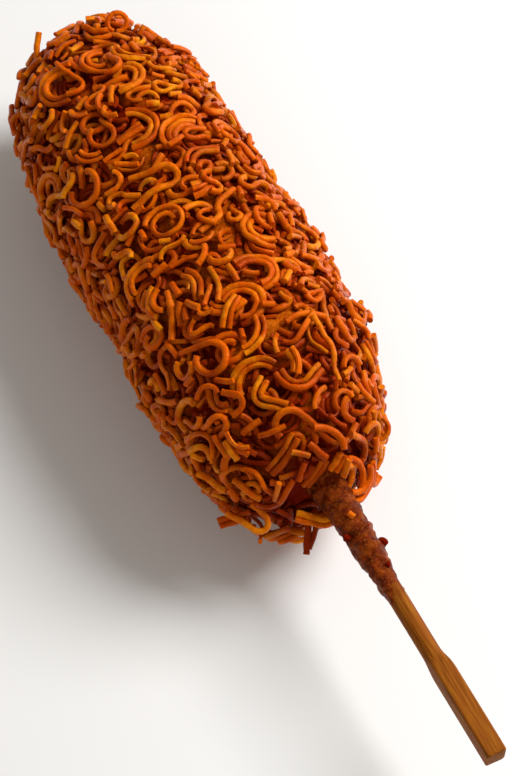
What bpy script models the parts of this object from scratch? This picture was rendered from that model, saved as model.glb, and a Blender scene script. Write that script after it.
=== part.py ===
"""A corn dog rolled in pieces of fried ramen noodle, lying on its side with its stick level.

Three solids: the stick, the batter that holds it and the coat of noodle pieces round the batter.
Run with: blender --background --python part.py
"""

import math

import bmesh
import bpy
from mathutils import Matrix, Vector, noise

MM = 0.001

# The food is turned about its own axis, Z in the food's frame: its tip up, its stick down.
FOOD_LENGTH = 147 * MM
FOOD_RADIUS = 27 * MM
WIDEST = -5.9 * MM  # height of the widest place, from the middle
FULLNESS = 3.5  # higher is blunter at both ends
SHOULDER = 2.2
TIP, STICK_END = FOOD_LENGTH / 2, -FOOD_LENGTH / 2

COAT_THICKNESS = 5.5 * MM
COAT_GAP = 0.3 * MM
COAT_ROWS, COAT_STEPS = 46, 52
CORE_ROWS, CORE_STEPS = 26, 32
MOUTH_RADIUS = 10.5 * MM  # the bare ring round the stick, where no noodle sticks
MOUTH_DEPTH = 8 * MM  # how far the batter's end lies inside the coat's
MOUTH_FLARE = 3 * MM
MOUTH_ROWS = 5
MOUTH_LUMPS = ((2.2 * MM, 6 * MM),)

# What rests on the table is pressed flat, and PRESSED is the share of the radius where that starts.
REST_CUT = 1.3 * MM
PRESSED = 0.55
AXIS_HEIGHT = FOOD_RADIUS - REST_CUT
TABLE_BLOCK = (0.1, 0.03, 0.1)

# Clumps of noodle, as (height, width) of each size of lump.
CLUMPS = ((1.8 * MM, 9 * MM), (1.6 * MM, 4.5 * MM))

# Where the coat stands proud or is thin: (from the tip, degrees round from +X, height, spread).
SWELLS = (
    (5.3 * MM, 61, 2.4 * MM, 5 * MM),
    (3.4 * MM, 134, -3.0 * MM, 5 * MM),
    (19 * MM, 31, 1.2 * MM, 9 * MM),
    (13.5 * MM, 197, 2.2 * MM, 5.5 * MM),
    (60 * MM, 17, -1.3 * MM, 8 * MM),
    (85 * MM, 17, 1.4 * MM, 5 * MM),
    (85 * MM, 197, -2.4 * MM, 10 * MM),
    (108 * MM, 17, 3.0 * MM, 6 * MM),
    (133 * MM, 17, -1.4 * MM, 9 * MM),
    (140 * MM, 222, 4.2 * MM, 9 * MM),
)

STICK_OUT = 66.2 * MM
STICK_INSIDE = 118.8 * MM
STICK_RADIUS = 2.12 * MM
STICK_POINT = 9 * MM
STICK_FIT = 0.3 * MM
STICK_ASIDE = 1.5 * MM
STICK_LEAN = math.radians(1.25)
STICK_SIDES = 24

HANDLE_SIDE = 4.6 * MM
HANDLE_LENGTH = 21 * MM
HANDLE_FLARE = 6.5 * MM
HANDLE_WEAR = 0.35 * MM
ROUND, EASED, SQUARE = 2.0, 3.4, 7.0  # exponents of the section's superellipse

COLLAR_OUT = 21 * MM
COLLAR_ROOT = 10 * MM  # how far inside the food the collar starts
COLLAR_RADIUS = 7 * MM
COLLAR_LIP = 0.33 * MM
COLLAR_SWEEP = 2.3
COLLAR_ROWS, COLLAR_STEPS = 14, 26
CRUST_LUMPS = ((0.9 * MM, 7 * MM), (0.5 * MM, 3 * MM))

COAT_COLOUR = (0.62, 0.24, 0.035, 1)
BATTER_COLOUR = (0.20, 0.065, 0.015, 1)
STICK_COLOUR = (0.42, 0.20, 0.055, 1)


def clear_scene():
    for obj in list(bpy.data.objects):
        bpy.data.objects.remove(obj, do_unlink=True)


def new_collection(name):
    collection = bpy.data.collections.new(name)
    bpy.context.scene.collection.children.link(collection)
    return collection


def material(name, colour, roughness):
    made = bpy.data.materials.new(name)
    made.use_nodes = True
    shader = made.node_tree.nodes["Principled BSDF"]
    shader.inputs["Base Color"].default_value = colour
    shader.inputs["Roughness"].default_value = roughness
    shader.inputs["Metallic"].default_value = 0
    return made


def add_object(name, data, collection, parent):
    obj = bpy.data.objects.new(name, data)
    collection.objects.link(obj)
    obj.parent = parent
    return obj


def food_radius(height, radius, tip, stick_end):
    """Radius at a height of a body of this widest radius between these ends."""
    end = tip if height > WIDEST else stick_end
    share = abs((height - WIDEST) / (end - WIDEST))
    return radius * max(0, 1 - share**FULLNESS) ** (1 / SHOULDER)


def food_outline(radius, tip, stick_end, rows):
    """The half outline from tip to stick end, as (radius, height), close together at both ends."""
    outline = []
    for i in range(rows):
        height = tip + (stick_end - tip) * (1 - math.cos(math.pi * i / (rows - 1))) / 2
        outline.append((food_radius(height, radius, tip, stick_end), height))
    return outline


def turned(name, outline, steps, collection, parent):
    """The outline, which starts and ends on the axis, turned about Z."""
    mesh = bpy.data.meshes.new(name + "_outline")
    corners = [(radius, 0, height) for radius, height in outline]
    mesh.from_pydata(corners, [(i, i + 1) for i in range(len(corners) - 1)], [])
    guide = add_object(name + "_outline", mesh, collection, None)
    screw = guide.modifiers.new("Turn", "SCREW")
    screw.steps = screw.render_steps = steps
    screw.use_merge_vertices = True
    screw.merge_threshold = 0.00001
    screw.use_smooth_shade = True
    graph = bpy.context.evaluated_depsgraph_get()
    solid = bpy.data.meshes.new_from_object(guide.evaluated_get(graph))
    solid.name = name
    bpy.data.objects.remove(guide)
    return add_object(name, solid, collection, parent)


def lumps(point, sizes):
    """Height of the lumps at a point, up or down from the plain surface."""
    return sum(height * noise.noise(point / width) for height, width in sizes)


def swell_centre(from_tip, degrees):
    height = TIP - from_tip
    radius = food_radius(height, FOOD_RADIUS, TIP, STICK_END)
    angle = math.radians(degrees)
    return Vector((radius * math.cos(angle), -radius * math.sin(angle), height))


def swells(point):
    total = 0
    for from_tip, degrees, height, spread in SWELLS:
        away = (point - swell_centre(from_tip, degrees)).length / spread
        total += height * math.exp(-away * away)
    return total


def coat_lumps(point):
    pressed = min(1, max(0, (point.y / FOOD_RADIUS - PRESSED) / (1 - PRESSED)))
    return lumps(point, CLUMPS) * (1 - pressed) + swells(point)


def mouth_lumps(point):
    outside = min(1, max(0, (STICK_END + MOUTH_DEPTH - COAT_GAP - point.z) / MOUTH_DEPTH))
    return lumps(point, MOUTH_LUMPS) * outside


def crust_lumps(point):
    bare = min(1, max(0, -point.z / COLLAR_OUT))
    return lumps(point, CRUST_LUMPS) * (1 - bare)


def push_out(obj, height_at):
    """Moves each vertex along its normal by height_at(point)."""
    normals = [vertex.normal.copy() for vertex in obj.data.vertices]
    for vertex, normal in zip(obj.data.vertices, normals):
        vertex.co += normal * height_at(vertex.co)


def combine(obj, tool, operation):
    boolean = obj.modifiers.new(operation.title(), "BOOLEAN")
    boolean.operation = operation
    boolean.object = tool
    tool.hide_render = True
    tool.display_type = "WIRE"


def section(side, exponent):
    """A superellipse of this half side, whose +X face stands out beyond the round shank's."""
    ring = []
    aside = side - STICK_RADIUS if exponent > ROUND else 0
    for i in range(STICK_SIDES):
        angle = 2 * math.pi * (i + 0.5) / STICK_SIDES
        c, s = math.cos(angle), math.sin(angle)
        reach = side * (abs(c) ** exponent + abs(s) ** exponent) ** (-1 / exponent)
        ring.append((aside + reach * c, reach * s))
    return ring


def stick_sections(fit=0.0):
    """(height, half side, exponent) of each section, from the hidden point to the handle's end."""
    side = HANDLE_SIDE / 2
    handle = HANDLE_LENGTH - STICK_OUT
    flare = handle + HANDLE_FLARE
    return (
        (STICK_INSIDE + fit, STICK_RADIUS * 0.35 + fit, ROUND),
        (STICK_INSIDE - STICK_POINT, STICK_RADIUS + fit, ROUND),
        (flare, STICK_RADIUS + fit, ROUND),
        ((flare + handle) / 2, (STICK_RADIUS + side) / 2 + fit, EASED),
        (handle, side + fit, SQUARE),
        (HANDLE_WEAR - STICK_OUT, side + fit, SQUARE),
        (-STICK_OUT, side - HANDLE_WEAR + fit, SQUARE),
    )


def loft(name, sections, collection, parent):
    """A closed solid through sections stacked down Z."""
    form = bmesh.new()
    rings = []
    for height, side, exponent in sections:
        rings.append([form.verts.new((x, y, height)) for x, y in section(side, exponent)])
    for upper, lower in zip(rings, rings[1:]):
        for i in range(STICK_SIDES):
            j = (i + 1) % STICK_SIDES
            form.faces.new((upper[i], lower[i], lower[j], upper[j]))
    form.faces.new(rings[0])
    form.faces.new(rings[-1])
    bmesh.ops.recalc_face_normals(form, faces=form.faces)
    mesh = bpy.data.meshes.new(name)
    form.to_mesh(mesh)
    form.free()
    return add_object(name, mesh, collection, parent)


def table_block(collection, parent):
    """Everything below the table, as a box."""
    form = bmesh.new()
    bmesh.ops.create_cube(form, size=1)
    middle = Vector((0, AXIS_HEIGHT + TABLE_BLOCK[1] / 2, 0))
    form.transform(Matrix.Translation(middle) @ Matrix.Diagonal((*TABLE_BLOCK, 1)))
    mesh = bpy.data.meshes.new("table_block")
    form.to_mesh(mesh)
    form.free()
    return add_object("table_block", mesh, collection, parent)


def cavity_outline():
    """The room inside the coat: the batter and its gap, then out through the flaring mouth."""
    radius = FOOD_RADIUS - COAT_THICKNESS + COAT_GAP
    tip = TIP - COAT_THICKNESS + COAT_GAP
    core = food_outline(radius, tip, STICK_END + MOUTH_DEPTH - COAT_GAP, CORE_ROWS)
    outline = [point for point in core if point[1] > WIDEST or point[0] > MOUTH_RADIUS]
    start, end = core[len(outline)][1], STICK_END - COAT_THICKNESS
    for i in range(MOUTH_ROWS):
        share = i / (MOUTH_ROWS - 1)
        outline.append((MOUTH_RADIUS + MOUTH_FLARE * share, start + (end - start) * share))
    outline.append((0, end))
    return outline


def make_coat(parts, cutters, food):
    outline = food_outline(FOOD_RADIUS, TIP, STICK_END, COAT_ROWS)
    coat = turned("noodle_coat", outline, COAT_STEPS, parts, food)
    push_out(coat, coat_lumps)
    cavity = turned("cavity", cavity_outline(), CORE_STEPS, cutters, food)
    push_out(cavity, mouth_lumps)
    combine(coat, cavity, "DIFFERENCE")
    combine(coat, table_block(cutters, food), "DIFFERENCE")
    coat.data.materials.append(material("fried_noodle", COAT_COLOUR, 0.4))


def collar_outline():
    lip = STICK_RADIUS + STICK_FIT + COLLAR_LIP
    outline = [(0, COLLAR_ROOT)]
    for i in range(COLLAR_ROWS):
        share = i / (COLLAR_ROWS - 1)
        radius = lip + (COLLAR_RADIUS - lip) * (1 - share) ** COLLAR_SWEEP
        outline.append((radius, COLLAR_ROOT - (COLLAR_OUT + COLLAR_ROOT) * share))
    outline.append((0, -COLLAR_OUT))
    return outline


def make_batter(parts, cutters, food, stick_axis):
    radius, tip = FOOD_RADIUS - COAT_THICKNESS, TIP - COAT_THICKNESS
    core = food_outline(radius, tip, STICK_END + MOUTH_DEPTH, CORE_ROWS)
    batter = turned("batter", core, CORE_STEPS, parts, food)
    collar = turned("collar", collar_outline(), COLLAR_STEPS, cutters, stick_axis)
    push_out(collar, crust_lumps)
    combine(batter, collar, "UNION")
    channel = loft("stick_channel", stick_sections(STICK_FIT), cutters, stick_axis)
    combine(batter, channel, "DIFFERENCE")
    batter.data.materials.append(material("fried_batter", BATTER_COLOUR, 0.5))


def make_stick(parts, stick_axis):
    stick = loft("stick", stick_sections(), parts, stick_axis)
    stick.data.materials.append(material("stick_wood", STICK_COLOUR, 0.5))


def centre_on_table(root, parts):
    """Moves the whole so that the middle of its box stands over the origin, its lowest point on it."""
    bpy.context.view_layer.update()
    graph = bpy.context.evaluated_depsgraph_get()
    points = []
    for obj in parts.objects:
        if obj.type == "MESH":
            seen = obj.evaluated_get(graph)
            points += [seen.matrix_world @ vertex.co for vertex in seen.data.vertices]
    low = [min(point[axis] for point in points) for axis in range(3)]
    high = [max(point[axis] for point in points) for axis in range(3)]
    root.location -= Vector(((low[0] + high[0]) / 2, (low[1] + high[1]) / 2, low[2]))


def main():
    clear_scene()
    parts = new_collection("corn_dog")
    cutters = new_collection("cutters")

    root = add_object("root", None, parts, None)
    food = add_object("food_axis", None, parts, root)
    food.location.z = AXIS_HEIGHT
    food.rotation_euler.x = -math.pi / 2
    stick_axis = add_object("stick_axis", None, parts, food)
    stick_axis.location = (STICK_ASIDE, 0, STICK_END)
    stick_axis.rotation_euler.y = -STICK_LEAN

    make_coat(parts, cutters, food)
    make_batter(parts, cutters, food, stick_axis)
    make_stick(parts, stick_axis)
    centre_on_table(root, parts)


main()
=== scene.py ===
"""The looks of a corn dog rolled in curly pieces of fried ramen noodle.

The noodle pieces are laid one by one on the batter, each resting on those under it, and the batter's
crust, its crisp collar and the wooden stick are modelled under them. Sizes are in millimetres.
"""

import math
import random

import bpy
import numpy as np
from mathutils import Matrix, Vector, noise
from mathutils.bvhtree import BVHTree


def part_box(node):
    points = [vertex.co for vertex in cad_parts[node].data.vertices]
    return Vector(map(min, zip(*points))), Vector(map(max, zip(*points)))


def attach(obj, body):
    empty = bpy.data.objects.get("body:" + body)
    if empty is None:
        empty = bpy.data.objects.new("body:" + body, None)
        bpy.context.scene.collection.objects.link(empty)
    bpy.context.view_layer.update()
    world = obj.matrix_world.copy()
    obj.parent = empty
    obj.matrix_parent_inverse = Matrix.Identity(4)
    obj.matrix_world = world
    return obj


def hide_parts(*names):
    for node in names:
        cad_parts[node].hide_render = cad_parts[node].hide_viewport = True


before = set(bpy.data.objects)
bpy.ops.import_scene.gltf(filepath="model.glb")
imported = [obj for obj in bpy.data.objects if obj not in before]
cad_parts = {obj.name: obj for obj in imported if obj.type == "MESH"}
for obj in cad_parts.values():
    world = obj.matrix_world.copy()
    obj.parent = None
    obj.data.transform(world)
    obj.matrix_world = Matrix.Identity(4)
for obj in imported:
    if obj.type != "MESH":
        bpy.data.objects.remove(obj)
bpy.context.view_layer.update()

MM = 0.001

batter_low, batter_high = (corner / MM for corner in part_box("batter"))
stick_low, stick_high = (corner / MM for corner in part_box("stick"))
coat_low, coat_high = (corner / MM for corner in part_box("noodle_coat"))

# The food lies along +Y. Its batter core is round, and the coat is thickest where noodles pile up.
CORE_RADIUS = (batter_high.z - batter_low.z) / 2
AXIS_X = (batter_high.x + batter_low.x) / 2
AXIS_Z = (batter_high.z + batter_low.z) / 2
CORE_TIP = batter_high.y
CORE_LENGTH = 133.5
CORE_WIDEST = CORE_TIP - 73.9
CORE_END = CORE_TIP - CORE_LENGTH
FULLNESS = 3.5
SHOULDER = 2.2
COAT_THICKNESS = 5.5
FOOD_TIP = CORE_TIP + COAT_THICKNESS
FOOD_LENGTH = 147.0

# The stick leaves the food a little to one side, and leans.
STICK_ASIDE = 1.5
STICK_LEAN = math.radians(1.25)
STICK_END = stick_low.y
STICK_POINT = stick_high.y
STICK_RADIUS = 2.12
FOOD_END = FOOD_TIP - FOOD_LENGTH
HANDLE_SIDE = 4.6
HANDLE_LENGTH = 21.0
HANDLE_FLARE = 6.5

# A noodle is nearly square in section, with round corners.
NOODLE = 0.71  # half its thickness
STEP = 0.8  # between points along it
SECTION_SIDES = 8
SQUARENESS = 3.0
FLATNESS = {"chips": 0.85, "hooks": 0.8, "loops": 0.9, "ripples": 0.66, "spirals": 0.9, "strands": 0.85, "waves": 0.85}

# The crust of the batter stands over the plain core, and runs out on the stick as a collar.
CRUST = 1.9

# Where the batter swells up between the noodles: (from the tip along the surface, degrees, height, spread).
SWELLINGS = ((120, 115, 1.8, 3.5), (90, 90, 1.5, 3), (115, 90, 1.5, 2.5))

# The side of the food that is shown, as an azimuth and an elevation that some noodles stand square to.
SHOWN = (-30, 55)

rng = random.Random(7)


# ---------------------------------------------------------------- the core, and places on it

def core_radius(y):
    end = CORE_TIP if y > CORE_WIDEST else CORE_END
    share = abs((y - CORE_WIDEST) / (end - CORE_WIDEST))
    return CORE_RADIUS * max(0, 1 - share**FULLNESS) ** (1 / SHOULDER)


def core_profile(count=900):
    """Points (radius, y) and outward normals along the core's half outline, tip to stick end."""
    ys = [CORE_TIP - CORE_LENGTH * (1 - math.cos(math.pi * i / 4000)) / 2 for i in range(4001)]
    line = np.array([(core_radius(y), y) for y in ys])
    length = np.concatenate([[0], np.cumsum(np.linalg.norm(np.diff(line, axis=0), axis=1))])
    even = np.linspace(0, length[-1], count)
    line = np.stack([np.interp(even, length, line[:, k]) for k in (0, 1)], axis=1)
    along = np.gradient(line, axis=0)
    along /= np.linalg.norm(along, axis=1)[:, None]
    return line, np.stack([-along[:, 1], along[:, 0]], axis=1), even


PROFILE, PROFILE_NORMAL, PROFILE_LENGTH = core_profile()


def onto_core(points):
    """The nearest places on the core to these points, their outward normals and profile points."""
    dx, dz = points[:, 0] - AXIS_X, points[:, 2] - AXIS_Z
    radius = np.hypot(dx, dz)
    away = (radius[:, None] - PROFILE[None, :, 0]) ** 2 + (points[:, 1, None] - PROFILE[None, :, 1]) ** 2
    near = away.argmin(axis=1)
    out, along = PROFILE_NORMAL[near, 0], PROFILE_NORMAL[near, 1]
    radius = np.maximum(radius, 1e-6)
    normal = np.stack([dx / radius * out, along, dz / radius * out], axis=1)
    height = (radius - PROFILE[near, 0]) * out + (points[:, 1] - PROFILE[near, 1]) * along
    return points - normal * height[:, None], normal, near


def place_on_core(from_tip, degrees):
    """A place on the core, and its frame: towards the tip, round the food and outwards.

    from_tip is measured along the surface from the food's tip, and degrees go from +X up over +Z.
    """
    radius = np.interp(from_tip, PROFILE_LENGTH, PROFILE[:, 0])
    y = np.interp(from_tip, PROFILE_LENGTH, PROFILE[:, 1])
    out = np.interp(from_tip, PROFILE_LENGTH, PROFILE_NORMAL[:, 0])
    along = np.interp(from_tip, PROFILE_LENGTH, PROFILE_NORMAL[:, 1])
    c, s = math.cos(math.radians(degrees)), math.sin(math.radians(degrees))
    place = np.array([AXIS_X + radius * c, y, AXIS_Z + radius * s])
    outwards = np.array([c * out, along, s * out])
    round_food = np.array([-s, 0, c])
    return place, np.cross(round_food, outwards), round_food, outwards


def coat_surface():
    """The outside of the coat's solid, to measure how high noodles may pile."""
    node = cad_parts["noodle_coat"]
    corners = [vertex.co / MM for vertex in node.data.vertices]
    return BVHTree.FromPolygons(corners, [tuple(face.vertices) for face in node.data.polygons])


REACH = 16.0
DEGREES = np.arange(0, 360, 2.5)
ROWS = 3  # of the profile's points to a row of the charts


def crust_height(place, from_tip, degrees):
    """How far the batter's crust stands above the plain core."""
    height = CRUST + 1.1 * noise.noise(Vector(place) / 9) + 0.8 * noise.noise(Vector(place) / 4)
    for swelling_tip, swelling_degrees, most, spread in SWELLINGS:
        round_food = math.radians((degrees - swelling_degrees + 180) % 360 - 180) * CORE_RADIUS
        away = math.hypot(from_tip - swelling_tip, round_food) / spread
        height += most * math.exp(-away * away)
    return height * min(1, (PROFILE_LENGTH[-1] - from_tip) / 12)


def charts():
    """The room for noodles above each place on the core and the crust's height there, as two charts."""
    coat = coat_surface()
    room, crust = [], []
    for from_tip in PROFILE_LENGTH[::ROWS]:
        for degrees in DEGREES:
            place, _, _, normal = place_on_core(from_tip, degrees)
            hit = coat.ray_cast(Vector(place + normal * REACH), Vector(-normal), REACH)
            room.append(REACH - hit[3] if hit[0] is not None else 0)
            crust.append(crust_height(place, from_tip, degrees))
    return [np.array(chart).reshape(-1, len(DEGREES)) for chart in (room, crust)]


ROOM, CRUST_CHART = charts()


def read_chart(chart, places, near):
    """The chart's values at places on the core whose nearest profile points are near."""
    degrees = np.degrees(np.arctan2(places[:, 2] - AXIS_Z, places[:, 0] - AXIS_X)) % 360
    column = degrees / (DEGREES[1] - DEGREES[0])
    left = column.astype(int) % len(DEGREES)
    right, share = (left + 1) % len(DEGREES), column % 1
    row = np.minimum(near // ROWS, len(chart) - 1)
    return chart[row, left] * (1 - share) + chart[row, right] * share


# ---------------------------------------------------------------- shapes of noodle pieces, laid flat

def walk(headings):
    """The path of a piece whose heading, in radians, is given at each step."""
    steps = np.stack([np.cos(headings), np.sin(headings)], axis=1) * STEP
    path = np.concatenate([[[0, 0]], np.cumsum(steps, axis=0)])
    return path - path.mean(axis=0)


def steps_in(length):
    return np.arange(max(2, round(length / STEP)))


def unevenly(headings, most):
    """Headings that also wander off by up to about most."""
    ends = np.arange(0, len(headings) + 4, 4)
    bends = np.cumsum([rng.uniform(-most, most) for _ in ends])
    return headings + np.interp(np.arange(len(headings)), ends, bends)


def wavy(length, wave, swing, start):
    """A fragment of the noodle block's waves: wave is the length of one, swing how far it turns."""
    return walk(unevenly(swing * np.sin(steps_in(length) * STEP / wave * 2 * math.pi + start), 0.3))


def arc(radius, degrees):
    sweep = math.radians(degrees)
    return walk(unevenly(steps_in(radius * sweep) * STEP / radius, 0.12))


def run(*legs):
    """A strand of straight legs, each a length, and arcs, each a radius and the degrees it turns."""
    headings, heading = [], 0.0
    for leg in legs:
        turn = math.radians(leg[1]) if isinstance(leg, tuple) else 0.0
        length = abs(leg[0] * turn) if turn else leg
        count = max(1, round(length / STEP))
        headings += [heading + turn * (k + 0.5) / count for k in range(count)]
        heading += turn
    return walk(unevenly(np.array(headings), 0.2))


def spiral(inner, turns):
    """A flat spiral whose turns lie against each other, from its inner radius outwards."""
    headings, heading = [], 0.0
    while heading < turns * 2 * math.pi:
        headings.append(heading)
        heading += STEP / (inner + 2.1 * NOODLE * heading / (2 * math.pi))
    return walk(np.array(headings))


def beside(path, gap):
    """A path that runs beside another, gap to its right."""
    along = np.gradient(path, axis=0)
    along /= np.linalg.norm(along, axis=1)[:, None]
    moved = path + np.stack([along[:, 1], -along[:, 0]], axis=1) * gap
    length = np.concatenate([[0], np.cumsum(np.linalg.norm(np.diff(moved, axis=0), axis=1))])
    even = np.arange(0, length[-1], STEP)
    return np.stack([np.interp(even, length, moved[:, k]) for k in (0, 1)], axis=1)


def turned_by(path, degrees):
    c, s = math.cos(math.radians(degrees)), math.sin(math.radians(degrees))
    return path @ np.array([[c, s], [-s, c]])


# ---------------------------------------------------------------- laying noodles

class Heap:
    """The noodle pieces laid so far."""

    def __init__(self):
        self.points = np.zeros((0, 3))
        self.guarded = np.zeros(0, bool)
        self.pieces = []

    def heights_to_clear(self, places, normals, clearance):
        """The least height at each place that clears the noodles under it, and how many are guarded."""
        reached = np.concatenate([places, places + normals * REACH])
        low, high = reached.min(axis=0) - clearance, reached.max(axis=0) + clearance
        inside = np.all((self.points > low) & (self.points < high), axis=1)
        others, guarded = self.points[inside], self.guarded[inside]
        if not len(others):
            return np.zeros(len(places)), 0
        away = others[None] - places[:, None]
        up = np.einsum("ijk,ik->ij", away, normals)
        aside = np.einsum("ijk,ijk->ij", away, away) - up**2
        under = aside < clearance**2
        lifted = np.where(under, up + np.sqrt(np.maximum(clearance**2 - aside, 0)), 0)
        return lifted.max(axis=1), int((under & guarded[None]).any(axis=1).sum())

    def settle(self, path, where, heading, stiffness, tilt=0, lean=0, held=0):
        """Lays a flat path, or one tilted by so many degrees, on the heap.

        It dips between what carries it by no more than stiffness, as a share of the way along it, and
        lies no lower than the held share of the room there.
        """
        place, along, round_food, _ = place_on_core(*where)
        flat = turned_by(path, heading)
        side = np.array([math.cos(lean), math.sin(lean)])
        reach = flat @ side
        flat = flat - np.outer(reach, side) * (1 - math.cos(math.radians(tilt)))
        rise = (reach - reach.min()) * math.sin(math.radians(tilt))
        places, normals, near = onto_core(place + flat[:, :1] * along + flat[:, 1:] * round_food)
        bed = read_chart(CRUST_CHART, places, near) + 0.6 * NOODLE
        room = read_chart(ROOM, places, near)
        clear, guarded = self.heights_to_clear(places, normals, 2 * NOODLE * 0.85)
        least = np.maximum(np.maximum(bed, clear), held * room)
        apart = np.abs(np.subtract.outer(reach, reach)) if tilt else 0
        steps = np.abs(np.subtract.outer(np.arange(len(path)), np.arange(len(path)))) * STEP
        heights = np.maximum((least[None] - stiffness * steps).max(axis=1), (least - rise).max() * (tilt > 0) + rise)
        soft = np.pad(heights, 2, mode="edge")
        heights = (soft[:-4] + 2 * soft[1:-3] + 3 * soft[2:-2] + 2 * soft[3:-1] + soft[4:]) / 9
        return {
            "points": places + normals * heights[:, None],
            "heights": heights,
            "over": (heights + NOODLE - room).max(),
            # How deep the piece lies in the room for noodles; the noodle material darkens deep pieces as painted shade.
            "painted_shade_depth": 1 - (heights + NOODLE) / np.maximum(room, 2),
            "guarded": guarded,
        }

    def add(self, kind, laid, guard=False):
        self.points = np.concatenate([self.points, laid["points"]])
        self.guarded = np.concatenate([self.guarded, np.full(len(laid["points"]), guard)])
        self.pieces.append({"kind": kind, **laid})


heap = Heap()


def random_place():
    """A place on the core, as likely on any square millimetre of it as on any other."""
    while True:
        from_tip = rng.uniform(0, PROFILE_LENGTH[-1])
        if rng.random() < np.interp(from_tip, PROFILE_LENGTH, PROFILE[:, 0]) / CORE_RADIUS:
            return from_tip, rng.uniform(0, 360)


def random_bundle(curly, longest):
    """One to three noodle strands broken off together: their kind and flat paths."""
    roll = rng.random() * (1 if longest > 6 else 0.2)
    if roll < 0.2:
        return "chips", [wavy(rng.uniform(2.2, 5.5), 20, rng.uniform(0, 0.6), rng.uniform(0, 6.3))]
    if roll < 0.2 + 0.1 * curly:
        return "spirals", [spiral(rng.uniform(1.3, 2.0), rng.uniform(0.8, 1.35))]
    if roll < 0.55:
        radius, sweep = rng.uniform(1.6, 3.6), rng.uniform(80, 270)
        kind, path = ("hooks" if sweep < 180 else "loops"), arc(radius, sweep)
    else:
        wave, swing = rng.uniform(10, 20), rng.uniform(0.8, 2.1)
        radius = wave / (2 * math.pi * swing)
        kind = "ripples" if swing < 1.4 else "waves"
        path = wavy(rng.uniform(5, 15), wave, swing, rng.uniform(0, 6.3))
    paths = [path]
    if radius > 2.2:
        for k in range(rng.choice((0, 0, 0, 0, 1, 1, 2) if kind != "loops" else (0, 0, 0, 0, 1))):
            paths.append(beside(path, (k + 1) * rng.uniform(1.7, 2.0) * NOODLE))
    return kind, paths


def fill(count, tries, longest, most_tilt):
    """Lays random bundles, each at the lowest of the places tried for it."""
    for _ in range(count):
        curly = 1 - random_place()[0] / PROFILE_LENGTH[-1]
        kind, paths = random_bundle(curly, longest)
        best = None
        for _ in range(tries):
            where, heading, stiffness = random_place(), rng.uniform(0, 360), rng.uniform(0.2, 0.6)
            tilt, lean = max(0, rng.uniform(-most_tilt, most_tilt)), rng.uniform(0, 6.3)
            laid = [heap.settle(paths[0], where, heading, stiffness, tilt, lean)]
            low = laid[0]["points"][:, 2].min()
            if laid[0]["guarded"] or laid[0]["over"] > 0.4 or low < NOODLE:
                continue
            room = laid[0]["heights"].mean() + laid[0]["over"]
            score = laid[0]["heights"].mean()
            if best is None or score < best[0]:
                best = (score, where, heading, stiffness, tilt, lean)
        if best is None:
            continue
        for path in paths:
            laid = heap.settle(path, *best[1:])
            if laid["over"] < 0.6 and not laid["guarded"] and laid["points"][:, 2].min() > NOODLE:
                heap.add(kind, laid)


def lay_strands():
    """The strands that catch the eye: (from the tip, degrees, heading, how many side by side, shape)."""
    placed = (
        # round the tip
        (13, 90, 343, 1, run(6, (3, 40))),
        (32, 125, 48, 2, run((3.4, 230))),
        (33, 115, 223, 1, run((2.2, 150), 7)),
        (31, 98, 53, 2, run((2.2, 220))),
        (55, 95, 243, 2, run((4, 200))),
        (52, 115, 100, 1, run((2.4, 270), 3)),
        (55, 103, 270, 2, run(5.5)),
        (60, 50, 60, 1, spiral(1.8, 1.4)),
        (68, 75, 53, 2, run((4, 130))),
        # along the middle
        (71, 104, 286, 1, run(8, (2.4, 190), 6)),
        (81, 109, 0, 1, spiral(2.0, 1.4)),
        (84, 83, 298, 1, run(3, (3, 70), (3, -70), 3)),
        (85, 91, 28, 1, run(3, (1.8, -150))),
        (89, 135, 33, 2, run((3, 170))),
        (102, 80, 273, 2, run((3.2, 230))),
        (102, 130, 343, 1, run(4, (8, 25), 3)),
        (99, 114, 343, 2, run(3, (5, 40), 2)),
        (102, 103, 330, 1, run(2, (6, 35), 3)),
        (109, 105, 325, 2, run(7)),
        (114, 53, 0, 1, run(2, (3, -45), 9)),
        (116, 70, 48, 1, run((6, 80))),
        (116, 99, 268, 2, run((4, 110))),
        (115, 125, 133, 1, run((3.1, 290), 6)),
        (119, 76, 208, 1, run((1.8, 100), 6)),
        (124, 65, 348, 1, run(5, (9, 30), 5)),
        # towards the stick
        (129, 111, 30, 2, run(4, (2.4, -95), 2.5)),
        (129, 88, 118, 2, run(3, (4, -100), 2)),
        (138, 90, 118, 1, run(3, (4, -80), 6, (2.6, 175), 1)),
        (134, 65, 28, 1, run((2.4, 180))),
        (132, 127, 263, 1, run(4.2)),
        (135, 118, 260, 1, run(4.5)),
        (139, 123, 283, 2, run(8)),
        (141, 110, 228, 1, run(3.5)),
        (142, 95, 20, 1, run(4)),
        (140, 80, 348, 1, run((5, 80))),
        (143, 40, 313, 1, run((3, 150), 3)),
        (148, 112, 306, 2, run(7.5)),
        (146, 58, 53, 1, run(5.5)),
        (148, 35, 313, 2, run((3, 150))),
        (147, 15, 300, 2, run((2.6, 140))),
        (145, 78, 330, 2, run(3)),
        (146, 64, 10, 1, run(3)),
    )
    for from_tip, degrees, heading, count, path in placed:
        bundle = [path] + [beside(path, k * 1.8 * NOODLE) for k in range(1, count)]
        laid = [heap.settle(strand, (from_tip, degrees), heading, 0.4, held=0.62) for strand in bundle]
        for strand in laid:
            heap.add("strands", strand, guard=True)


def facing(azimuth, elevation):
    """The directions to the right and up, in a plane that faces this way."""
    a, e = math.radians(azimuth), math.radians(elevation)
    right = np.array([math.cos(a), math.sin(a), 0])
    return right, np.cross([math.sin(a) * math.cos(e), -math.cos(a) * math.cos(e), math.sin(e)], right)


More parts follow.
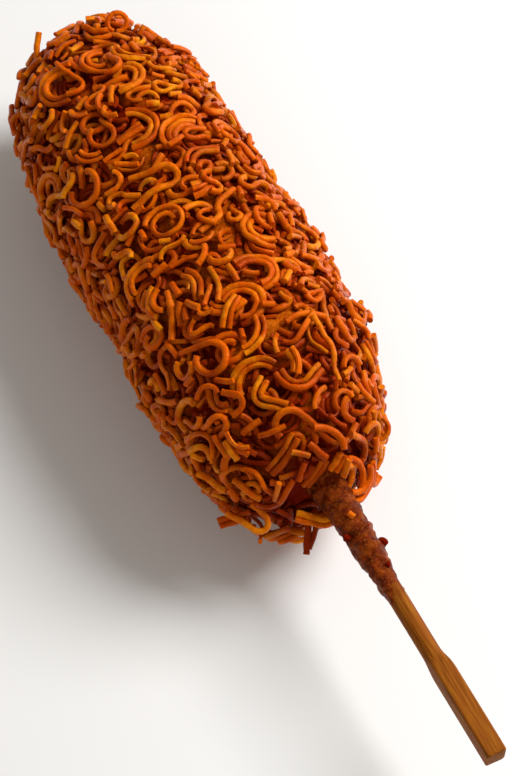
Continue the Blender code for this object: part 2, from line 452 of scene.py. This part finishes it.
def lay_proud():
    """The strands that stand out of the heap: (middle, degrees turned, depth of painted shade, count, shape)."""
    standing = (
        ((7, 91, 45), 0, 0, 1, run((2.3, 330))),  # the ring on top of the tip
        ((-11, 97.5, 38), 95, 0, 1, run(3, (4, -25), 2.5)),  # the strand end left of it
        ((-22, 83, 32), 120, 0.1, 1, run((2.6, 220))),  # the loop at the left edge
        ((12, 88, 43), 60, 0.1, 1, run(2.5)),
        ((-17, -34, 23), 350, 0, 1, run(7, (2.0, 170), 4)),  # the bend hanging at the lower rim
        ((-20, -31, 22), 35, 0.2, 2, run(7)),
        ((-2, -38, 24), 350, 0, 2, run(5, (2.8, 180), 4)),  # the folded strands by the stick
        ((-7, -41, 19), 285, 0.45, 1, run(7)),  # the pair under them, darkened as painted shade
        ((-5.5, -41, 19), 255, 0.45, 1, run(6)),
        ((16.5, -30, 31), -10, 0.1, 1, run((2.6, -160))),
        ((1, -45, 29), 330, 0, 1, run(1.6)),  # the chip stuck on the collar
    )
    right, up = facing(*SHOWN)
    for middle, degrees, painted_shade_depth, count, path in standing:
        for k in range(count):
            flat = turned_by(beside(path, k * 1.8 * NOODLE) if k else path, degrees)
            points = np.array(middle) + flat[:, :1] * right + flat[:, 1:] * up
            heap.add("strands", {"points": points, "painted_shade_depth": np.full(len(points), painted_shade_depth)}, guard=True)


fill(1000, 4, 15, 0)
lay_proud()
lay_strands()
fill(2200, 6, 15, 55)
fill(300, 10, 5, 30)


# ---------------------------------------------------------------- noodles as meshes

def deselect_all():
    bpy.ops.object.select_all(action="DESELECT")


def noodle_section(flatness):
    """A small square with round corners, which the noodles are drawn along."""
    data = bpy.data.curves.new("noodle_section", "CURVE")
    data.dimensions = "2D"
    ring = data.splines.new("POLY")
    ring.points.add(SECTION_SIDES - 1)
    for i, point in enumerate(ring.points):
        angle = -2 * math.pi * (i + 0.5) / SECTION_SIDES
        c, s = math.cos(angle), math.sin(angle)
        reach = NOODLE * MM * (abs(c) ** SQUARENESS + abs(s) ** SQUARENESS) ** (-1 / SQUARENESS)
        point.co = (reach * c, reach * s * flatness, 0, 1)
    ring.use_cyclic_u = True
    section = bpy.data.objects.new("noodle_section", data)
    bpy.context.scene.collection.objects.link(section)
    return section


def noodle_curves(kind, pieces, section):
    data = bpy.data.curves.new(kind, "CURVE")
    data.dimensions = "3D"
    data.bevel_mode = "OBJECT"
    data.bevel_object = section
    data.use_fill_caps = True
    for piece in pieces:
        spline = data.splines.new("POLY")
        spline.points.add(len(piece["points"]) - 1)
        thickness, roll, twist = rng.uniform(0.86, 1.16), rng.uniform(0, math.pi), rng.uniform(-0.12, 0.12)
        for i, (point, place) in enumerate(zip(spline.points, piece["points"])):
            wobble = noise.noise_vector(Vector(place) / 1.7 + Vector((9 * thickness, 0, 0))) * 0.16
            point.co = (*((place + np.array(wobble)) * MM), 1)
            point.radius = thickness * rng.uniform(0.92, 1.06)
            point.tilt = roll + twist * i
    obj = bpy.data.objects.new(kind, data)
    bpy.context.scene.collection.objects.link(obj)
    return obj


def mark_vertices(mesh, name, pieces, values):
    """Writes an attribute with one value for each ring of each piece, first those of the end caps."""
    caps = [piece_values[end] for piece_values in reversed(values) for end in (-1, 0)]
    rings = np.concatenate([caps, *values])
    attribute = mesh.attributes.new(name, "FLOAT", "POINT")
    attribute.data.foreach_set("value", np.repeat(rings, SECTION_SIDES).astype(np.float32))


def noodle_mesh(kind, pieces, section):
    """One closed mesh of all the pieces of a kind, with what its material reads."""
    obj = noodle_curves("noodle_" + kind, pieces, section)
    deselect_all()
    obj.select_set(True)
    bpy.context.view_layer.objects.active = obj
    bpy.ops.object.convert(target="MESH")
    # Painted shade: how deep each piece lies, which the noodle material darkens.
    mark_vertices(obj.data, "painted_shade_depth", pieces, [piece["painted_shade_depth"] for piece in pieces])
    mark_vertices(obj.data, "shade", pieces, [np.full(len(piece["points"]), rng.random()) for piece in pieces])
    weld = obj.modifiers.new("Weld", "WELD")
    weld.merge_threshold = 0.00001
    bpy.ops.object.modifier_apply(modifier=weld.name)
    bpy.ops.object.shade_smooth_by_angle(angle=math.radians(50))
    return obj


def build_noodles(material):
    for kind, flatness in FLATNESS.items():
        section = noodle_section(flatness)
        pieces = [piece for piece in heap.pieces if piece["kind"] == kind]
        obj = noodle_mesh(kind, pieces, section)
        print(kind, len(pieces), "tris", sum(len(p.vertices) - 2 for p in obj.data.polygons))
        obj.data.materials.clear()
        obj.data.materials.append(material)
        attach(obj, "root")
        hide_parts("noodle_coat")
        bpy.data.objects.remove(section)


# ---------------------------------------------------------------- materials

def new_material(name, roughness):
    material = bpy.data.materials.new(name)
    material.use_nodes = True
    tree = material.node_tree
    shader = tree.nodes["Principled BSDF"]
    shader.inputs["Roughness"].default_value = roughness
    shader.inputs["Specular IOR Level"].default_value = 0.22
    shader.inputs["Specular Tint"].default_value = (1.0, 0.32, 0.1, 1)
    return material, tree, shader


def add_node(tree, kind, inputs=None, **settings):
    """A node with its settings, whose inputs are values or other nodes' outputs."""
    node = tree.nodes.new(kind)
    for name, value in settings.items():
        setattr(node, name, value)
    for name, value in (inputs or {}).items():
        if isinstance(value, bpy.types.NodeSocket):
            tree.links.new(value, node.inputs[name])
        else:
            node.inputs[name].default_value = value
    return node


def ramp(tree, value, *stops):
    node = add_node(tree, "ShaderNodeValToRGB", {"Fac": value})
    points = node.color_ramp.elements
    while len(points) < len(stops):
        points.new(0.5)
    for point, (position, colour) in zip(points, stops):
        point.position = position
        point.color = (*colour, 1)
    return node.outputs["Color"]


def mix(tree, factor, first, second, blend="MIX"):
    node = add_node(tree, "ShaderNodeMix", data_type="RGBA", blend_type=blend)
    for socket, value in zip((node.inputs[0], node.inputs[6], node.inputs[7]), (factor, first, second)):
        if isinstance(value, bpy.types.NodeSocket):
            tree.links.new(value, socket)
        else:
            socket.default_value = value if socket.type == "VALUE" else (*value, 1)
    return node.outputs[2]


def noise_node(tree, coordinates, scale, detail=3.0, roughness=0.55):
    return add_node(tree, "ShaderNodeTexNoise", {"Vector": coordinates, "Scale": scale, "Detail": detail, "Roughness": roughness})


def grain_group():
    """Blotches and fine grain over a surface, and the normal that the grain gives it."""
    group = bpy.data.node_groups.new("surface_grain", "ShaderNodeTree")
    sockets = (("Patch Scale", 350), ("Grain Scale", 1500), ("Grain Roughness", 0.7), ("Relief", 0.8))
    for name, value in sockets:
        group.interface.new_socket(name=name, in_out="INPUT", socket_type="NodeSocketFloat").default_value = value
    for name, kind in (("Patches", "Float"), ("Grain", "Float"), ("Normal", "Vector")):
        group.interface.new_socket(name=name, in_out="OUTPUT", socket_type="NodeSocket" + kind)
    given = group.nodes.new("NodeGroupInput")
    put_out = group.nodes.new("NodeGroupOutput")
    place = add_node(group, "ShaderNodeTexCoord").outputs["Object"]
    patches = add_node(group, "ShaderNodeTexNoise", {"Vector": place, "Detail": 4.0, "Roughness": 0.55})
    grain = add_node(group, "ShaderNodeTexNoise", {"Vector": place, "Detail": 4.0})
    bump = add_node(group, "ShaderNodeBump", {"Height": grain.outputs["Fac"], "Distance": 0.0005})
    links = (
        (given.outputs["Patch Scale"], patches.inputs["Scale"]),
        (given.outputs["Grain Scale"], grain.inputs["Scale"]),
        (given.outputs["Grain Roughness"], grain.inputs["Roughness"]),
        (given.outputs["Relief"], bump.inputs["Strength"]),
        (patches.outputs["Fac"], put_out.inputs["Patches"]),
        (grain.outputs["Fac"], put_out.inputs["Grain"]),
        (bump.outputs["Normal"], put_out.inputs["Normal"]),
    )
    for source, target in links:
        group.links.new(source, target)
    return group


GRAIN = grain_group()


def grained(tree, shader, patch_scale, grain_scale, roughness=0.7, relief=0.8):
    """Gives a material its grain, and returns the masks of its blotches and of the grain."""
    sizes = {"Patch Scale": patch_scale, "Grain Scale": grain_scale, "Grain Roughness": roughness, "Relief": relief}
    node = add_node(tree, "ShaderNodeGroup", node_tree=GRAIN)
    for name, value in sizes.items():
        node.inputs[name].default_value = value
    tree.links.new(node.outputs["Normal"], shader.inputs["Normal"])
    return node.outputs["Patches"], node.outputs["Grain"]


def fried_noodle():
    material, tree, shader = new_material("fried_noodle", 0.28)
    blotches, _ = grained(tree, shader, 350, 1100, 0.55, 0.5)
    painted_shade_depth = add_node(tree, "ShaderNodeAttribute", attribute_name="painted_shade_depth").outputs["Fac"]
    shade = add_node(tree, "ShaderNodeAttribute", attribute_name="shade").outputs["Fac"]
    golden = ramp(tree, shade, (0.0, (0.60, 0.10, 0.0007)), (0.5, (0.72, 0.16, 0.0016)), (1.0, (0.78, 0.27, 0.004)))
    browned = mix(tree, ramp(tree, blotches, (0.35, (0, 0, 0)), (0.7, (1, 1, 1))), golden, (0.52, 0.062, 0.0005))
    # Painted shade: pieces that lie deep in the heap are darkened towards dark red-brown.
    colour = mix(tree, ramp(tree, painted_shade_depth, (0.0, (0, 0, 0)), (0.42, (0.95, 0.95, 0.95))), browned, (0.22, 0.013, 0.0005))
    tree.links.new(colour, shader.inputs["Base Color"])
    shader.inputs["Subsurface Weight"].default_value = 0.22
    shader.inputs["Subsurface Radius"].default_value = (1.0, 0.2, 0.04)
    shader.inputs["Subsurface Scale"].default_value = 0.0012
    return material


def fried_batter():
    material, tree, shader = new_material("fried_batter", 0.6)
    shader.inputs["Specular IOR Level"].default_value = 0.1
    shader.inputs["IOR"].default_value = 1.2
    patches, grains = grained(tree, shader, 260, 1500)
    painted_shade_rise = add_node(tree, "ShaderNodeAttribute", attribute_name="painted_shade_rise").outputs["Fac"]
    colour = ramp(tree, patches, (0.3, (0.20, 0.016, 0.0006)), (0.5, (0.34, 0.050, 0.001)), (0.75, (0.48, 0.10, 0.003)))
    colour = mix(tree, ramp(tree, grains, (0.45, (0, 0, 0)), (0.7, (1, 1, 1))), colour, (0.56, 0.14, 0.004))
    # Painted shade: the crust is darkened where it stands low between the noodles.
    colour = mix(tree, ramp(tree, painted_shade_rise, (0.4, (0.95, 0.95, 0.95)), (0.72, (0, 0, 0))), colour, (0.15, 0.003, 0.0002))
    tree.links.new(colour, shader.inputs["Base Color"])
    return material


def fried_collar():
    material, tree, shader = new_material("fried_collar", 0.33)
    patches, grains = grained(tree, shader, 420, 1900)
    colour = ramp(tree, patches, (0.35, (0.05, 0.003, 0.0002)), (0.5, (0.13, 0.012, 0.0007)), (0.7, (0.29, 0.05, 0.003)))
    colour = mix(tree, ramp(tree, grains, (0.52, (0, 0, 0)), (0.75, (1, 1, 1))), colour, (0.42, 0.11, 0.007))
    tree.links.new(colour, shader.inputs["Base Color"])
    return material


# How far down the stick the collar's crust and then its greasy stains reach.
COLLAR_END, STAIN_END = 18, 34


def stick_wood():
    material, tree, shader = new_material("stick_wood", 0.6)
    place = add_node(tree, "ShaderNodeTexCoord").outputs["Object"]
    drawn_out = add_node(tree, "ShaderNodeMapping", {"Vector": place, "Scale": (1, 0.05, 1)}).outputs["Vector"]
    grain = noise_node(tree, drawn_out, 1900, 4, 0.6).outputs["Fac"]
    blotches = noise_node(tree, place, 160, 3).outputs["Fac"]
    colour = ramp(tree, grain, (0.3, (0.11, 0.026, 0.002)), (0.5, (0.235, 0.068, 0.005)), (0.7, (0.36, 0.125, 0.010)))
    colour = mix(tree, ramp(tree, blotches, (0.45, (0, 0, 0)), (0.75, (0.7, 0.7, 0.7))), colour, (0.24, 0.062, 0.006))
    along = add_node(tree, "ShaderNodeSeparateXYZ", {"Vector": place}).outputs["Y"]
    reach = {"Value": along, "From Min": (FOOD_END - STAIN_END) * MM, "From Max": (FOOD_END - COLLAR_END) * MM}
    near_collar = add_node(tree, "ShaderNodeMapRange", reach).outputs["Result"]
    drops = noise_node(tree, place, 420, 3).outputs["Fac"]
    greasy = add_node(tree, "ShaderNodeMath", {0: drops, 1: near_collar}, operation="MULTIPLY").outputs["Value"]
    stains = ramp(tree, greasy, (0.22, (0, 0, 0)), (0.42, (0.9, 0.9, 0.9)))
    colour = mix(tree, stains, colour, (0.14, 0.018, 0.001))
    tree.links.new(colour, shader.inputs["Base Color"])
    bump = add_node(tree, "ShaderNodeBump", {"Height": grain, "Strength": 0.5, "Distance": 0.0002})
    tree.links.new(bump.outputs["Normal"], shader.inputs["Normal"])
    return material


# ---------------------------------------------------------------- the batter's crust, the collar and the stick

def lathe(name, outline, steps):
    """A closed skin through an outline of (radius, y), turned round the Y axis."""
    data = bpy.data.meshes.new(name)
    line = [(radius * MM, y * MM, 0) for radius, y in outline]
    data.from_pydata(line, [(i, i + 1) for i in range(len(line) - 1)], [])
    obj = bpy.data.objects.new(name, data)
    bpy.context.scene.collection.objects.link(obj)
    bpy.context.view_layer.objects.active = obj
    screw = obj.modifiers.new("Screw", "SCREW")
    screw.axis = "Y"
    screw.steps = screw.render_steps = steps
    screw.use_merge_vertices = True
    screw.merge_threshold = 0.00001
    bpy.ops.object.modifier_apply(modifier=screw.name)
    return obj


def places_of(obj):
    places = np.empty(len(obj.data.vertices) * 3)
    obj.data.vertices.foreach_get("co", places)
    return places.reshape(-1, 3) / MM


def move_vertices(obj, places):
    obj.data.vertices.foreach_set("co", (np.asarray(places) * MM).ravel())
    obj.data.update()


def finish_piece(obj, material, replaced, smooth=40):
    deselect_all()
    obj.select_set(True)
    bpy.context.view_layer.objects.active = obj
    bpy.ops.object.mode_set(mode="EDIT")
    bpy.ops.mesh.select_all(action="SELECT")
    bpy.ops.mesh.remove_doubles(threshold=0.000001)
    bpy.ops.mesh.normals_make_consistent(inside=False)
    bpy.ops.object.mode_set(mode="OBJECT")
    bpy.ops.object.shade_smooth_by_angle(angle=math.radians(smooth))
    obj.data.materials.clear()
    obj.data.materials.append(material)
    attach(obj, "root")
    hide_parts(replaced)


def build_crust(material):
    rows = np.linspace(0, len(PROFILE) - 1, 230).astype(int)
    outline = [(0 if row in (0, len(PROFILE) - 1) else PROFILE[row, 0], PROFILE[row, 1]) for row in rows]
    obj = lathe("batter_crust", outline, 170)
    places = places_of(obj) + np.array([AXIS_X, 0, AXIS_Z])
    _, normals, near = onto_core(places)
    degrees = np.degrees(np.arctan2(places[:, 2] - AXIS_Z, places[:, 0] - AXIS_X))
    heights = np.zeros(len(places))
    for i, place in enumerate(places):
        grain = 0.22 * noise.noise(Vector(place) / 1.3) + 0.3 * noise.noise(Vector(place) / 2.2)
        heights[i] = crust_height(place, PROFILE_LENGTH[near[i]], degrees[i]) + grain
    places += normals * heights[:, None]
    move_vertices(obj, places)
    # The crust's height, which the batter material darkens where it is low, as painted shade.
    painted_shade_rise = obj.data.attributes.new("painted_shade_rise", "FLOAT", "POINT")
    painted_shade_rise.data.foreach_set("value", heights.astype(np.float32) / 4)
    finish_piece(obj, material, "batter", 60)


def stick_centre(y):
    return np.array([AXIS_X + STICK_ASIDE + (FOOD_END - y) * math.tan(STICK_LEAN), y, AXIS_Z])


COLLAR_OUT = (-10, -8, 3, 11.5, 18, 21, 27)
COLLAR_THICKNESS = (3.0, 2.2, 1.4, 1.0, 0.55, 0.28, -0.5)


def collar_thickness(place):
    """How thick the collar is over the stick at a place beside it, negative where it is gone."""
    blisters = 0.55 * noise.noise(place / 2.6) + 0.36 * noise.noise(place / 1.1) + 0.14 * noise.noise(place / 0.5)
    aside = (place - Vector(stick_centre(place.y))).normalized()
    shortened = 3.2 * (0.6 * aside.x + 0.5 * aside.z) + 2.5 * noise.noise(place / 1.8)
    return max(-0.5, np.interp(FOOD_END - place.y + shortened, COLLAR_OUT, COLLAR_THICKNESS) + blisters)


def build_collar(material):
    outline = [(0, FOOD_END + 10)] + [(STICK_RADIUS, FOOD_END + 10 - 0.28 * i) for i in range(132)]
    outline.append((0, outline[-1][1]))
    obj = lathe("collar", outline, 72)
    places = places_of(obj)
    for i, place in enumerate(places):
        out = Vector((place[0], 0, place[2])) / STICK_RADIUS
        centre = Vector(stick_centre(place[1]))
        if out.length > 0.5:
            places[i] = centre + out * (STICK_RADIUS + collar_thickness(centre + out * STICK_RADIUS))
        else:
            places[i] = centre
    move_vertices(obj, places)
    finish_piece(obj, material, "batter", 60)


# Crumbs stuck on the collar: (out of the food, degrees, half size).
CRUMBS = ((12, 10, 1.1), (8, 160, 0.8), (18, 60, 0.6))


def build_crumb(out, degrees, size):
    bpy.ops.mesh.primitive_ico_sphere_add(subdivisions=3, radius=MM)
    crumb = bpy.context.object
    angle = math.radians(degrees)
    outwards = np.array([math.cos(angle), 0, math.sin(angle)])
    middle = np.array(stick_centre(FOOD_END - out)) + outwards * STICK_RADIUS
    middle = middle + outwards * (collar_thickness(Vector(middle)) + 0.3 * size)
    lumpy = [place * size * (1 + 0.5 * noise.noise(Vector(place * 1.1 + middle))) for place in places_of(crumb)]
    move_vertices(crumb, np.array(lumpy) + middle)
    return crumb


def build_crumbs(material):
    crumbs = [build_crumb(*row) for row in CRUMBS]
    deselect_all()
    for crumb in crumbs:
        crumb.select_set(True)
    bpy.context.view_layer.objects.active = crumbs[0]
    bpy.ops.object.join()
    crumbs[0].name = "collar_crumbs"
    finish_piece(crumbs[0], material, "batter", 60)


def stick_stations():
    """The stick's sections from its hidden point to its handle's end: (y, half side, squareness)."""
    stations = [(STICK_POINT, 0.35 * STICK_RADIUS, 2.0), (STICK_POINT - 9, STICK_RADIUS, 2.0)]
    flare, handle = FOOD_END - 66.2 + HANDLE_LENGTH + HANDLE_FLARE, FOOD_END - 66.2 + HANDLE_LENGTH
    stations += [(y, STICK_RADIUS, 2.0) for y in np.arange(STICK_POINT - 12, flare + 1, -3)]
    for share in np.linspace(0, 1, 9):
        eased = share * share * (3 - 2 * share)
        side = STICK_RADIUS + (HANDLE_SIDE / 2 - STICK_RADIUS) * eased
        stations.append((flare + (handle - flare) * share, side, 2 + 6 * eased**2))
    stations += [(y, HANDLE_SIDE / 2, 8.0) for y in np.arange(handle - 2.5, STICK_END + 1, -2.5)]
    wear = 0.4
    stations += [
        (STICK_END + wear * (1 - math.sin(a)), HANDLE_SIDE / 2 - wear * (1 - math.cos(a)), 8.0)
        for a in np.linspace(0, math.pi / 2, 4)
    ]
    return stations


STICK_SIDES = 40


def stick_ring(y, side, squareness):
    ring = []
    for i in range(STICK_SIDES):
        angle = 2 * math.pi * (i + 0.5) / STICK_SIDES
        c, s = math.cos(angle), math.sin(angle)
        x = math.copysign(abs(c) ** (2 / squareness), c) * side
        z = math.copysign(abs(s) ** (2 / squareness), s) * side
        uneven = 1 + 0.018 * noise.noise(Vector((c * 1.5, y / 14, s * 1.5)))
        ring.append(stick_centre(y) + np.array([x * uneven + max(0, side - STICK_RADIUS), 0, z * uneven]))
    return ring


def build_stick(material):
    stations = stick_stations()
    bpy.ops.mesh.primitive_circle_add(vertices=STICK_SIDES, radius=STICK_RADIUS * MM, fill_type="NGON")
    obj = bpy.context.object
    obj.name = "wooden_stick"
    bpy.ops.object.mode_set(mode="EDIT")
    bpy.ops.mesh.select_all(action="SELECT")
    for _ in stations[1:]:
        bpy.ops.mesh.extrude_region_move(TRANSFORM_OT_translate={"value": (0, 0, 0.001)})
    bpy.ops.object.mode_set(mode="OBJECT")
    move_vertices(obj, np.concatenate([stick_ring(*station) for station in stations]))
    finish_piece(obj, material, "stick", 35)


batter_material = fried_batter()
build_noodles(fried_noodle())
build_crust(batter_material)
build_collar(fried_collar())
build_crumbs(batter_material)
build_stick(stick_wood())


# ---------------------------------------------------------------- stage

def floor():
    bpy.ops.mesh.primitive_plane_add(size=6)
    plane = bpy.context.object
    plane.name = "floor"
    mat = bpy.data.materials.new("floor")
    mat.use_nodes = True
    mat.node_tree.nodes["Principled BSDF"].inputs["Base Color"].default_value = (0.8, 0.8, 0.79, 1)
    plane.data.materials.append(mat)


def camera():
    azimuth, elevation, distance, roll = math.radians(-27.33), math.radians(55.91), 575.9, math.radians(2.06)
    aim = Vector((3.16, 5.51, 8.19))
    back = Vector((math.sin(azimuth) * math.cos(elevation), -math.cos(azimuth) * math.cos(elevation), math.sin(elevation)))
    right = Vector((math.cos(azimuth), math.sin(azimuth), 0))
    up = back.cross(right)
    c, s = math.cos(roll), math.sin(roll)
    right, up = right * c + up * s, up * c - right * s
    data = bpy.data.cameras.new("camera")
    data.sensor_fit = "VERTICAL"
    data.sensor_height = 36
    data.lens = 115.86
    data.clip_start = 0.01
    cam = bpy.data.objects.new("camera", data)
    bpy.context.scene.collection.objects.link(cam)
    turn = Matrix((right, up, back)).transposed().to_4x4()
    cam.matrix_world = Matrix.Translation((aim + back * distance) * MM) @ turn
    bpy.context.scene.camera = cam


def area_light(name, place, size, power, colour=(1, 1, 1)):
    data = bpy.data.lights.new(name, "AREA")
    data.shape = "DISK"
    data.size = size
    data.energy = power
    data.color = colour
    light = bpy.data.objects.new(name, data)
    bpy.context.scene.collection.objects.link(light)
    light.location = place
    light.rotation_euler = (-Vector(place)).to_track_quat("-Z", "Y").to_euler()


def lights():
    area_light("key", (0.52, 0.0, 0.58), 0.45, 7.8)
    area_light("fill", (-0.5, -0.5, 0.5), 0.6, 1.0, (1, 0.94, 0.87))
    world = bpy.data.worlds.new("world")
    world.use_nodes = True
    world.node_tree.nodes["Background"].inputs["Color"].default_value = (1, 0.95, 0.89, 1)
    world.node_tree.nodes["Background"].inputs["Strength"].default_value = 0.30
    bpy.context.scene.world = world


bpy.context.scene.view_settings.view_transform = "Standard"
floor()
camera()
lights()
